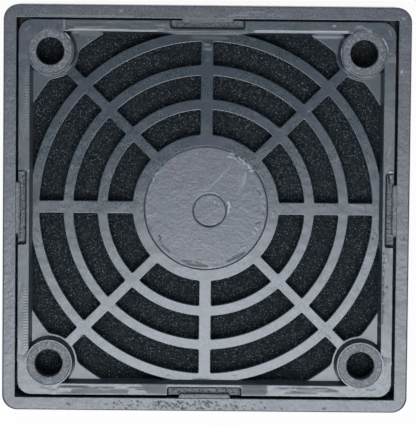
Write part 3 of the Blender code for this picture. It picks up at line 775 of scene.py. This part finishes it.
def notch_beds(material):
    """The rough floor of each notch."""
    low, high = NOTCH_WALL + NOTCH_DRAFT - TUCK, GUARD_OUTER - TUCK
    half, top = NOTCH_LENGTH / 2 - NOTCH_DRAFT, NOTCH_FLOOR + BED_HEIGHT
    for i, name in enumerate(SIDES):
        rough_plate(f"notch_{name}", low, high, half, top, SEED + 14 + i, i, NOTCH_MARKS_AND_SHADOWS, material,
                    "finger_guard")


def guard_pads(material):
    """The four corner pads: boss circle and rim corner in one outline, drafted round the boss. Along
    the rim the pad's top edge runs out over PAD_FADE where the pad is PAD_SINK deep."""
    edge, outer = RIM_INNER, GUARD_OUTER - TUCK
    bend = outer - (GUARD_CORNER - TUCK)
    end = HOLE_PLACE - math.sqrt(BOSS_RADIUS ** 2 - (edge - HOLE_PLACE) ** 2)
    hole = (HOLE_PLACE, HOLE_PLACE)
    corners = [(edge, end), (outer, end), (outer, bend), (bend, outer), (end, outer), (end, edge)]
    kinds = [(None, 0.1), (None, 0.5), ((bend, bend), 0.5), (None, 0.5), (None, 0.1)]
    sides = [side_path(*ends, *kind)[:-1] for *ends, kind in zip(corners, corners[1:], kinds)]
    low, high = end - HOLE_PLACE, edge - HOLE_PLACE
    angle = np.linspace(math.atan2(high, low), 2 * math.pi + math.atan2(low, high), 40)[:-1, None]
    sides.append(hole + BOSS_RADIUS * np.concatenate([np.cos(angle), np.sin(angle)], 1))
    outline = np.concatenate(sides)
    drafted = np.linalg.norm(outline - hole, axis=1) < BOSS_RADIUS + TUCK
    fading = ~drafted & (outline.min(1) < end + TUCK)
    runs = np.clip(1 - (outline - end) / (2 * PAD_FADE), 0, 1) * ~drafted[:, None]
    runs *= np.clip((outline.max(1, keepdims=True) - edge) / 0.6, 0, 1)
    foot = GRILLE_TOP - SHARP
    section = rounded_section([(-SHARP - 2 * SUPPORT, GUARD_TOP), (0, GUARD_TOP), (BOSS_DRAFT, foot)],
                              [SHARP])
    rings = []
    for offset, z in section:
        ring = offset_outline(outline, np.where(drafted, offset, np.where(fading, 0, min(offset, 0))))
        run_out = PAD_FADE * max(0, 1 - (GUARD_TOP - z) / PAD_SINK) - min(offset, 0)
        rings.append(np.insert(ring + run_out * runs, 2, z, 1))
    groove = wall_stack(circle_outline(GROOVE_RADIUS, 72, hole), hole_section(GUARD_TOP, foot, 0.03, 0))
    for name, x, y in CORNERS:
        stacks = [stack * (x, y, 1) for stack in (np.stack(rings), groove)]
        if x * y < 0:
            stacks = [stack[:, ::-1] for stack in stacks]
        vertices, faces = stacked_plate(stacks, PAD_GRID)
        vertices, shade = with_relief(vertices, GUARD_TOP, PAD_MARKS, SEED + 32)
        add_piece(f"pad_{name}", vertices, faces, material, "finger_guard", shade)


def boss_faces(material):
    """The seat ring round each screw hole, parted from its pad by a fine groove: a closed section of
    radius and height turned about the hole, its top roughened by ripples."""
    top, foot = GUARD_TOP - SEAT_SINK, GRILLE_TOP - 2 * SHARP
    section = rounded_section([(SEAT_RING, foot), (SEAT_RING, top), (HOLE_RADIUS, top),
                               (HOLE_RADIUS, foot)], (0.05, EDGE))
    section = split_flat(section, top, BOSS_STEP)
    angle = np.arange(200)[:, None] * 2 * math.pi / 200
    on_top = near_top(section[:, 1], top)
    for number, (name, side_x, side_y) in enumerate(CORNERS):
        x = side_x * HOLE_PLACE + section[:, 0] * np.cos(angle)
        y = side_y * HOLE_PLACE + section[:, 0] * np.sin(angle)
        rough = ripple(x, y, 0.17, SEED + 9 + number)
        z = section[:, 1] + on_top * SEAT_ROUGH * (rough - 1)
        shade = on_top * np.where(abs(rough) > 0.3, np.minimum(0.55 * rough, 0.3 * rough), 0)
        faces = grid_faces(*x.shape, close_rows=True, close_columns=True)
        add_piece(f"boss_{name}", np.stack([x, y, z], -1), [faces], material, "finger_guard", shade)


def hub_disc(material):
    """The recessed disc of the hub, a polar grid about the gate mark. Outside the mark each radius
    runs on to the disc's edge, at the far root of the ray's equation with the circle. The gate mark
    and the disc's edge are cut round by grooves in the form of a bell curve."""
    edge = HUB_DISC_RADIUS - TUCK
    angle = np.linspace(0, 2 * math.pi, 601)[:-1, None]
    ray = np.concatenate([np.cos(angle), np.sin(angle)], 1)
    lean = ray @ GATE_MIDDLE
    reach = -lean + np.sqrt(lean ** 2 - GATE_MIDDLE @ GATE_MIDDLE + edge ** 2)
    mark = GATE_RADIUS * np.concatenate([np.linspace(0.02, 0.97, 20), [0.985, 1.0, 1.015]])
    share = np.linspace(0, 1, 71)[1:]
    far = mark[-1] + (reach[:, None] - mark[-1]) * share
    radius = np.concatenate([np.broadcast_to(mark, (len(angle), len(mark))), far], 1)
    x = GATE_MIDDLE[0] + radius * ray[:, :1]
    y = GATE_MIDDLE[1] + radius * ray[:, 1:]
    floor = GRILLE_TOP - HUB_DISC_DEPTH
    draw = np.random.default_rng(SEED)
    turn, out = draw.uniform(*NICK_ANGLES, NICKS), NICK_RADIUS - draw.exponential(NICK_SPREAD, NICKS)
    nicks = np.stack([out * np.cos(turn), out * np.sin(turn), out * np.cos(turn + 0.02) + 0.1,
                      out * np.sin(turn + 0.02), draw.uniform(0.06, 0.12, NICKS),
                      draw.uniform(-0.02, 0.02, NICKS), draw.uniform(-0.3, 0.6, NICKS)], 1)
    rise, shade = segments_relief(x, y, HUB_MARKS_AND_SHADE + tuple(nicks))
    z = floor - GATE_DEPTH * np.clip((GATE_RADIUS - radius) / 0.08 + 0.5, 0, 1) + rise
    for beyond, (depth, width) in ((radius - GATE_RADIUS, GATE_GROOVE), (np.hypot(x, y) - edge, DISC_GROOVE)):
        z -= depth * np.exp(-(beyond / width) ** 2)
    z += 0.006 * ripple(x, y, 0.27, SEED + 4) + 0.004 * ripple(x, y, 0.9, SEED + 5)
    top = np.stack([x, y, z], -1)
    under = top[:, -1:] * (1, 1, 0) + (0, 0, GRILLE_BOTTOM)
    middle = under * 0 + np.append(GATE_MIDDLE, GRILLE_BOTTOM)
    start = top[:, :1] * 0 + np.append(GATE_MIDDLE, floor - GATE_DEPTH)
    sheet = np.concatenate([start, top, under, middle], 1)
    faces = grid_faces(*sheet.shape[:2], close_rows=True)
    shade = np.pad(shade, ((0, 0), (1, 2)))
    add_piece("hub_disc", domed(sheet), [faces], material, "finger_guard", shade)


def retainer(material):
    """The whole retainer frame: its inner wall, end face, outer wall and front edge are one stack of
    rings round the square, and the slots pierce its front. Its end face is uneven by ripples and
    pitted on the near side."""
    section = rounded_section([(FRAME_INNER - 2 * SHARP, FRONT_THICKNESS), (FRAME_INNER, FRONT_THICKNESS),
                               (FRAME_INNER, FRAME_TOP), (FRAME_OUTER, FRAME_TOP),
                               (FRAME_OUTER, FRAME_CHAMFER), (FRAME_OUTER - FRAME_CHAMFER, 0),
                               (FRAME_OUTER - 2 * FRAME_CHAMFER, 0)],
                              (0, GAP_EDGE, FRAME_EDGE, CHAMFER_EDGE, CHAMFER_EDGE))
    section = split_flat(section, FRAME_TOP, FRAME_STEP)
    corner = np.interp(section[:, 0], [FRAME_INNER + 0.3, FRAME_OUTER - 0.3], [SHARP, FRAME_CORNER])
    corner = np.where(section[:, 1] < FRAME_CHAMFER + SHARP,
                      FRAME_CORNER - (FRAME_OUTER - section[:, 0]), corner)
    corner[section[:, 0] < FRAME_INNER + SHARP] = SHARP
    plan = square_rings(section[:, 0], corner, np.linspace(-FRAME_REACH, FRAME_REACH, 400))
    height = np.broadcast_to(section[:, 1], plan.shape[:2])
    x, y = plan[..., 0], plan[..., 1]
    draw = np.random.default_rng(SEED + 6)
    pit_x, pit_y = draw.normal(*PIT_X, PITS), draw.uniform(*PIT_Y, PITS)
    pits = np.stack([pit_x, pit_y, pit_x + draw.uniform(0.02, 0.14, PITS),
                     pit_y + draw.uniform(-0.1, 0.1, PITS), draw.uniform(0.08, 0.14, PITS),
                     np.full(PITS, -0.05), draw.uniform(-1.0, -0.25, PITS)], 1)
    rise, shade = segments_relief(x, y, FRAME_MARKS + tuple(pits))
    on_top = near_top(height, FRAME_TOP)
    uneven = 0.006 * ripple(x, y, 0.4, SEED + 7) + 0.012 * ripple(x, y, 2.3, SEED + 8)
    height = np.minimum(height + on_top * (rise + uneven - 0.018), FRAME_TOP)
    walls = np.concatenate([plan, height[..., None]], -1).transpose(1, 0, 2)

    slot_length = (2 * FRONT_WINDOW - (FRONT_COLUMNS - 1) * SLAT_WIDTH) / FRONT_COLUMNS
    slot_width = (2 * FRONT_WINDOW - (FRONT_SLOTS - 1) * SLAT_WIDTH) / FRONT_SLOTS
    slot_wall = hole_section(FRONT_THICKNESS, 0, SHARP, 0.2)
    stacks = [walls]
    shades = [(shade * on_top).T.ravel()]
    for column in range(FRONT_COLUMNS):
        x = -FRONT_WINDOW + column * (slot_length + SLAT_WIDTH)
        for row in range(FRONT_SLOTS):
            y = -FRONT_WINDOW + row * (slot_width + SLAT_WIDTH)
            corners = [(x, y), (x + slot_length, y), (x + slot_length, y + slot_width), (x, y + slot_width)]
            stacks.append(wall_stack(filleted_outline(corners, 0.3), slot_wall))
            shades.append(np.zeros(stacks[-1][..., 0].size))
    vertices, faces = stacked_plate(stacks)
    add_piece("retainer", vertices, faces, material, "retainer_frame", np.concatenate(shades))


def barbs(material):
    """The four barbs on the retainer's wall, each a plate with rounded corners and a rough top."""
    root, half = FRAME_INNER + FRAME_WALL / 2, BARB_LENGTH / 2
    corners = [(BARB_TIP, -half), (root, -half), (root, half), (BARB_TIP, half)]
    body = BARB_HIGH - 0.03
    section = rounded_section([(-0.2, body), (0, body), (0, BARB_LOW), (-0.2, BARB_LOW)], (SHARP, SHARP))
    stack = wall_stack(filleted_outline(corners, 0.5), section)
    for i, name in enumerate(SIDES):
        turned = np.concatenate([stack[..., :2] @ quarter_turn(i).T, stack[..., 2:]], -1)
        add_piece(f"barb_{name}", *stacked_plate([turned]), material, "retainer_frame")
        rough_plate(f"barb_top_{name}", BARB_TIP + 0.1, FRAME_INNER + TUCK, half - 0.16, BARB_HIGH,
                    SEED + 20 + i, i, (), material, "retainer_frame", 0.4)


def pore_field(x, y, size, seed):
    """Distances to the nearest and second nearest of a jittered grid of points, over the cell size."""
    cells = int(80 / size)
    jitter = np.random.default_rng(seed).random((cells, cells, 2)) * 0.9 + 0.05
    i, j = np.floor(x / size).astype(int), np.floor(y / size).astype(int)
    found = []
    for di in (-1, 0, 1):
        for dj in (-1, 0, 1):
            ci, cj = i + di, j + dj
            point = jitter[ci % cells, cj % cells]
            found.append(np.hypot(ci + point[..., 0] - x / size, cj + point[..., 1] - y / size))
    near = np.sort(np.stack(found), 0)
    return near[0], near[1]


def foam_side(x, y, seed):
    """Depth of the open cells in a cut face of the foam, from 0 on a strut to 1 in a pore."""
    nearest, second = pore_field(x, y, PORE_SPACING, seed)
    return smooth_step((second - nearest) / STRUT_GAP)


def foam(material):
    """The foam square: a grid of fine cells on each face, joined round the edge by plain rows. The
    cut faces sink by a share of PORE_DEPTH where a pore opens."""
    half = (FOAM_HIGH - FOAM_LOW)[:2] / 2
    middle = (FOAM_HIGH + FOAM_LOW)[:2] / 2
    count = int(2 * half[0] / FOAM_STEP)
    line = np.linspace(-1, 1, count)
    u, v = np.meshgrid(line, line, indexing="ij")
    x, y = middle[0] + half[0] * u, middle[1] + half[1] * v
    margin = np.clip((1 - np.maximum(abs(u), abs(v))) * half[0] / FOAM_MARGIN, 0, 1)
    sheets = []
    for height, side, seed in ((FOAM_HIGH[2], -1, SEED), (FOAM_LOW[2], 1, SEED + 1)):
        sunk = foam_side(x, y, seed) * PORE_DEPTH * margin
        sheets.append(np.stack([x, y, height + side * sunk], -1))
    quads = grid_faces(count, count)
    edge = np.concatenate([np.arange(count) * count, (count - 1) * count + np.arange(1, count),
                           np.arange(count - 2, -1, -1) * count + count - 1, np.arange(count - 2, 0, -1)])
    below = edge + count * count
    walls = np.stack([edge, np.roll(edge, -1), np.roll(below, -1), below], 1)
    faces = [quads, quads[:, ::-1] + count * count, walls]
    made = add_piece("foam", np.concatenate(sheets), faces, material, "filter_foam", smooth=70)


class Nodes:
    """Short calls for a material's nodes."""

    def __init__(self, name):
        self.material = bpy.data.materials.new(name)
        self.material.use_nodes = True
        self.tree = self.material.node_tree
        self.shader = self.tree.nodes["Principled BSDF"]
        self.place = self.tree.nodes.new("ShaderNodeTexCoord").outputs["Object"]

    def link(self, source, target):
        """Sets an input to a node's output or to a value."""
        if isinstance(source, bpy.types.NodeSocket):
            self.tree.links.new(source, target)
        else:
            target.default_value = source

    def noise(self, size, detail=2.0, stretch=(1, 1, 1), turn=0.0):
        """Noise whose features measure size millimetres, stretched along axes that are turned about Z."""
        mapping = self.tree.nodes.new("ShaderNodeMapping")
        mapping.vector_type = "TEXTURE"
        mapping.inputs["Scale"].default_value = [size * MM * s for s in stretch]
        mapping.inputs["Rotation"].default_value = (0, 0, turn)
        self.link(self.place, mapping.inputs["Vector"])
        made = self.tree.nodes.new("ShaderNodeTexNoise")
        made.inputs["Scale"].default_value = 1.0
        made.inputs["Detail"].default_value = detail
        self.link(mapping.outputs["Vector"], made.inputs["Vector"])
        return made.outputs["Fac"]

    def attribute(self, name):
        """A value kept at the vertices, 0 where a piece has none."""
        made = self.tree.nodes.new("ShaderNodeAttribute")
        made.attribute_name = name
        return made.outputs["Fac"]

    def cells(self, size, feature="F1"):
        """Distances of a cell pattern whose cells measure size millimetres."""
        made = self.tree.nodes.new("ShaderNodeTexVoronoi")
        made.feature = feature
        made.inputs["Scale"].default_value = 1 / (size * MM)
        self.link(self.place, made.inputs["Vector"])
        return made

    def spread(self, value, low, high, to_low=0.0, to_high=1.0):
        """A value carried from one range to another and held at its ends."""
        made = self.tree.nodes.new("ShaderNodeMapRange")
        made.interpolation_type = "SMOOTHSTEP"
        for name, source in (("Value", value), ("From Min", low), ("From Max", high),
                             ("To Min", to_low), ("To Max", to_high)):
            self.link(source, made.inputs[name])
        return made.outputs["Result"]

    def math(self, operation, first, second=0.0):
        """A sum, product or other operation on two values."""
        made = self.tree.nodes.new("ShaderNodeMath")
        made.operation = operation
        self.link(first, made.inputs[0])
        self.link(second, made.inputs[1])
        return made.outputs[0]

    def mix(self, share, first, second):
        """A colour between two colours. Each is a node's output or three values."""
        made = self.tree.nodes.new("ShaderNodeMix")
        made.data_type = "RGBA"
        self.link(share, made.inputs["Factor"])
        for number, colour in ((6, first), (7, second)):
            self.link((*colour, 1) if isinstance(colour, tuple) else colour, made.inputs[number])
        return made.outputs[2]

    def bump(self, height, depth, before=None):
        """A bump of a height from 0 to 1, depth millimetres deep, on top of the bump before it."""
        made = self.tree.nodes.new("ShaderNodeBump")
        made.inputs["Distance"].default_value = depth * MM
        self.link(height, made.inputs["Height"])
        if before is not None:
            self.link(before, made.inputs["Normal"])
        return made.outputs["Normal"]


def plastic(name, dark, light, rough_low, rough_high, grain):
    """Moulded black plastic: bluish and greyish clouds, fine speckle, faint scratches in three
    directions, and the marks that the vertices carry: wear and painted highlights, lighter where their
    shade is above 0, and stains and painted shade, darker and dull where it is below."""
    made = Nodes(name)
    clouds = made.spread(made.noise(5), 0.42, 0.58)
    speckle = made.spread(made.noise(0.3, detail=3), 0.3, 0.7)
    mottle = made.noise(1.3, detail=3)
    colour = made.mix(clouds, dark, light)
    pale = tuple(1.7 * part for part in light)
    colour = made.mix(made.math("MULTIPLY", speckle, 0.45), colour, pale)
    scratches = made.spread(made.noise(0.13, detail=1, stretch=(34, 1, 1), turn=0.5), 0.72, 0.8)
    for turn, least in ((1.3, 0.73), (2.5, 0.72)):
        more = made.spread(made.noise(0.12, detail=1, stretch=(28, 1, 1), turn=turn), least, 0.8)
        scratches = made.math("MAXIMUM", scratches, more)
    shade = made.attribute("shade")
    bare_and_lit = made.math("MAXIMUM", shade, made.math("MULTIPLY", scratches, 0.09))
    colour = made.mix(made.math("MULTIPLY", bare_and_lit, 0.9), colour, BARE_AND_LIGHT_COLOUR)
    colour = made.mix(made.math("MULTIPLY", shade, -0.85), colour, STAIN_AND_SHADE_COLOUR)
    made.link(colour, made.shader.inputs["Base Color"])
    gloss = made.spread(made.math("ADD", speckle, mottle), 0.3, 1.5, rough_low, rough_high)
    rough = made.spread(made.math("ABSOLUTE", shade), 0.0, 0.12, gloss, 0.42)
    made.link(rough, made.shader.inputs["Roughness"])
    made.shader.inputs["IOR"].default_value = 1.54
    made.link(made.spread(shade, -1.0, 0.0, 0.08, 0.6), made.shader.inputs["Specular IOR Level"])
    fine = made.bump(made.noise(0.16), grain)
    wide = made.bump(made.noise(2.2), depth=0.012, before=fine)
    made.link(wide, made.shader.inputs["Normal"])
    return made.material


def foam_material():
    """Black open-cell foam: pores painted darker than the struts as painted shade, and warm and cool glints
    painted into the colour as painted highlights.
    """
    made = Nodes("black foam")
    struts = made.cells(0.5, "DISTANCE_TO_EDGE").outputs["Distance"]
    on_strut = made.spread(struts, 0.0, 0.12, 1.0, 0.0)
    # Glints are painted into the colour: painted highlights on sparse spots of the struts
    glint = made.cells(0.23)
    spot = made.spread(glint.outputs["Distance"], 0.16, 0.38, 1.0, 0.0)
    split = made.tree.nodes.new("ShaderNodeSeparateColor")
    made.link(glint.outputs["Color"], split.inputs["Color"])
    chosen = made.spread(split.outputs["Red"], 0.22, 1.0)
    painted_glint = made.math("MULTIPLY", spot, chosen)
    # The pores are painted darker than the struts: painted shade in the open cells
    base = made.mix(on_strut, (0.0004, 0.003, 0.007), (0.0012, 0.009, 0.019))
    warm = made.spread(split.outputs["Green"], 0.4, 0.9)
    painted_glint_colour = made.mix(warm, (0.24, 0.39, 0.44), (0.40, 0.43, 0.35))
    made.link(made.mix(painted_glint, base, painted_glint_colour), made.shader.inputs["Base Color"])
    made.shader.inputs["Roughness"].default_value = 0.75
    made.link(made.bump(on_strut, depth=0.12), made.shader.inputs["Normal"])
    return made.material


def softbox(name, azimuth, tilt, distance, size, radiance):
    """A round light that looks at the filter from an azimuth and a tilt off the vertical. A disk whose
    face shows a radiance sends out pi times that from each unit of its area."""
    lamp = bpy.data.lights.new(name, "AREA")
    lamp.shape = "DISK"
    lamp.size = size
    lamp.energy = radiance * math.pi * math.pi * size ** 2 / 4
    lamp.color = COOL
    made = bpy.data.objects.new(name, lamp)
    bpy.context.scene.collection.objects.link(made)
    azimuth, tilt = math.radians(azimuth), math.radians(tilt)
    way = Vector((math.sin(tilt) * math.cos(azimuth), math.sin(tilt) * math.sin(azimuth), math.cos(tilt)))
    made.location = Vector(LIT_PLACE) + way * distance
    made.rotation_euler = way.to_track_quat("Z", "Y").to_euler()


def floor():
    """The pale floor that the filter lies on. The camera and reflections see it mostly as plain white,
    and the rest of it keeps the filter's shadow."""
    bpy.ops.mesh.primitive_plane_add(size=FLOOR_SIZE, location=(0, 0, -FLOOR_DROP))
    made = bpy.context.object
    made.name = "floor"
    surface = Nodes("pale floor")
    surface.shader.inputs["Base Color"].default_value = (0.93, 0.93, 0.935, 1)
    surface.shader.inputs["Roughness"].default_value = 0.9
    surface.shader.inputs["Specular IOR Level"].default_value = 0.1
    nodes = surface.tree.nodes
    rays = nodes.new("ShaderNodeLightPath").outputs
    seen = surface.math("MAXIMUM", rays["Is Camera Ray"], rays["Is Glossy Ray"])
    seen = surface.math("MAXIMUM", seen, rays["Is Transmission Ray"])
    white = nodes.new("ShaderNodeEmission")
    both = nodes.new("ShaderNodeMixShader")
    surface.link(surface.math("MULTIPLY", seen, FLOOR_WHITE), both.inputs["Fac"])
    surface.tree.links.new(surface.shader.outputs["BSDF"], both.inputs[1])
    surface.tree.links.new(white.outputs["Emission"], both.inputs[2])
    surface.tree.links.new(both.outputs["Shader"], nodes["Material Output"].inputs["Surface"])
    made.data.materials.append(surface.material)


def studio():
    """Soft light: one softbox on the near side, whose reflection falls off towards the far side of the
    part, a dim fill from the far side, and an even dome."""
    for name, sizes in SOFTBOXES.items():
        softbox(name, *sizes)
    world = bpy.data.worlds.new("dome")
    bpy.context.scene.world = world
    world.use_nodes = True
    background = world.node_tree.nodes["Background"].inputs
    background["Color"].default_value = (*COOL, 1)
    background["Strength"].default_value = DOME_LIGHT


def camera():
    """The photograph's view: from above and a little towards the far side."""
    lens = bpy.data.cameras.new("camera")
    lens.lens = LENS
    lens.sensor_width = SENSOR
    made = bpy.data.objects.new("camera", lens)
    bpy.context.scene.collection.objects.link(made)
    place, aim = Vector(CAMERA_PLACE) * MM, Vector(CAMERA_AIM) * MM
    back = (place - aim).normalized()
    up = back.cross(Vector(CAMERA_RIGHT)).normalized()
    right = up.cross(back).normalized()
    made.matrix_world = Matrix.Translation(place) @ Matrix((right, up, back)).transposed().to_4x4()
    bpy.context.scene.camera = made


plastics = {name: plastic(f"{name} plastic", *looks) for name, looks in PLASTICS.items()}
guard_grille(plastics["guard"])
guard_rim(plastics["rim"])
notch_beds(plastics["notch"])
guard_pads(plastics["rim"])
boss_faces(plastics["boss"])
hub_disc(plastics["hub"])
retainer(plastics["frame"])
barbs(plastics["barb"])
foam(foam_material())
floor()
studio()
camera()
bpy.context.scene.view_settings.view_transform = "Standard"
